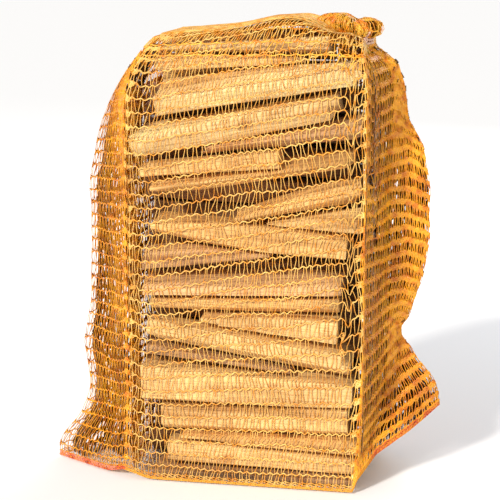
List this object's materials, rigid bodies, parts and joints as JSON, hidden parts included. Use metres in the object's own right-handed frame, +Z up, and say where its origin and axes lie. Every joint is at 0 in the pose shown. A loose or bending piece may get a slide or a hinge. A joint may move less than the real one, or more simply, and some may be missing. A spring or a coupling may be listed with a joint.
{
  "type": "firewood bundle",
  "caption": "Knitted net sack of split kindling sticks, gathered and tied at the top, standing upright on its flat stitched bottom with loose net wings at both sides.",
  "frame": {"origin": "middle of the flat underside that the sack stands on", "axes": "+X along the sticks, +Y from the front of the sack to its back, +Z up"},
  "size_m": [0.3898, 0.1556, 0.4578],
  "materials": {
    "wood": "raw split wood with rough fibres and sawn ends",
    "net_plastic": "knitted orange-yellow plastic tape net, slightly glossy",
    "seam_thread": "red overlock stitching",
    "tie_fibre": "pale matt cord"
  },
  "bodies": {
    "root": {"net_sack": "net_plastic", "seam_stitching": "seam_thread", "stick_back_01": "wood", "stick_back_02": "wood", "stick_back_03": "wood", "stick_back_04": "wood", "stick_back_05": "wood", "stick_back_06": "wood", "stick_back_07": "wood", "stick_back_08": "wood", "stick_back_09": "wood", "stick_back_10": "wood", "stick_back_11": "wood", "stick_back_12": "wood", "stick_back_13": "wood", "stick_back_14": "wood", "stick_back_15": "wood", "stick_front_01": "wood", "stick_front_02": "wood", "stick_front_03": "wood", "stick_front_04": "wood", "stick_front_05": "wood", "stick_front_06": "wood", "stick_front_07": "wood", "stick_front_08": "wood", "stick_front_09": "wood", "stick_front_10": "wood", "stick_front_11": "wood", "stick_front_12": "wood", "stick_front_13": "wood", "stick_front_14": "wood", "stick_front_15": "wood", "stick_front_16": "wood", "stick_front_17": "wood", "stick_front_18": "wood", "stick_front_19": "wood", "stick_front_20": "wood", "stick_front_21": "wood", "stick_middle_01": "wood", "stick_middle_02": "wood", "stick_middle_03": "wood", "stick_middle_04": "wood", "stick_middle_05": "wood", "stick_middle_06": "wood", "stick_middle_07": "wood", "stick_middle_08": "wood", "stick_middle_09": "wood", "stick_middle_10": "wood", "stick_middle_11": "wood", "stick_middle_12": "wood", "stick_middle_13": "wood", "stick_middle_14": "wood", "stick_middle_15": "wood", "tie_cord": "tie_fibre"}
  },
  "joints": []
}
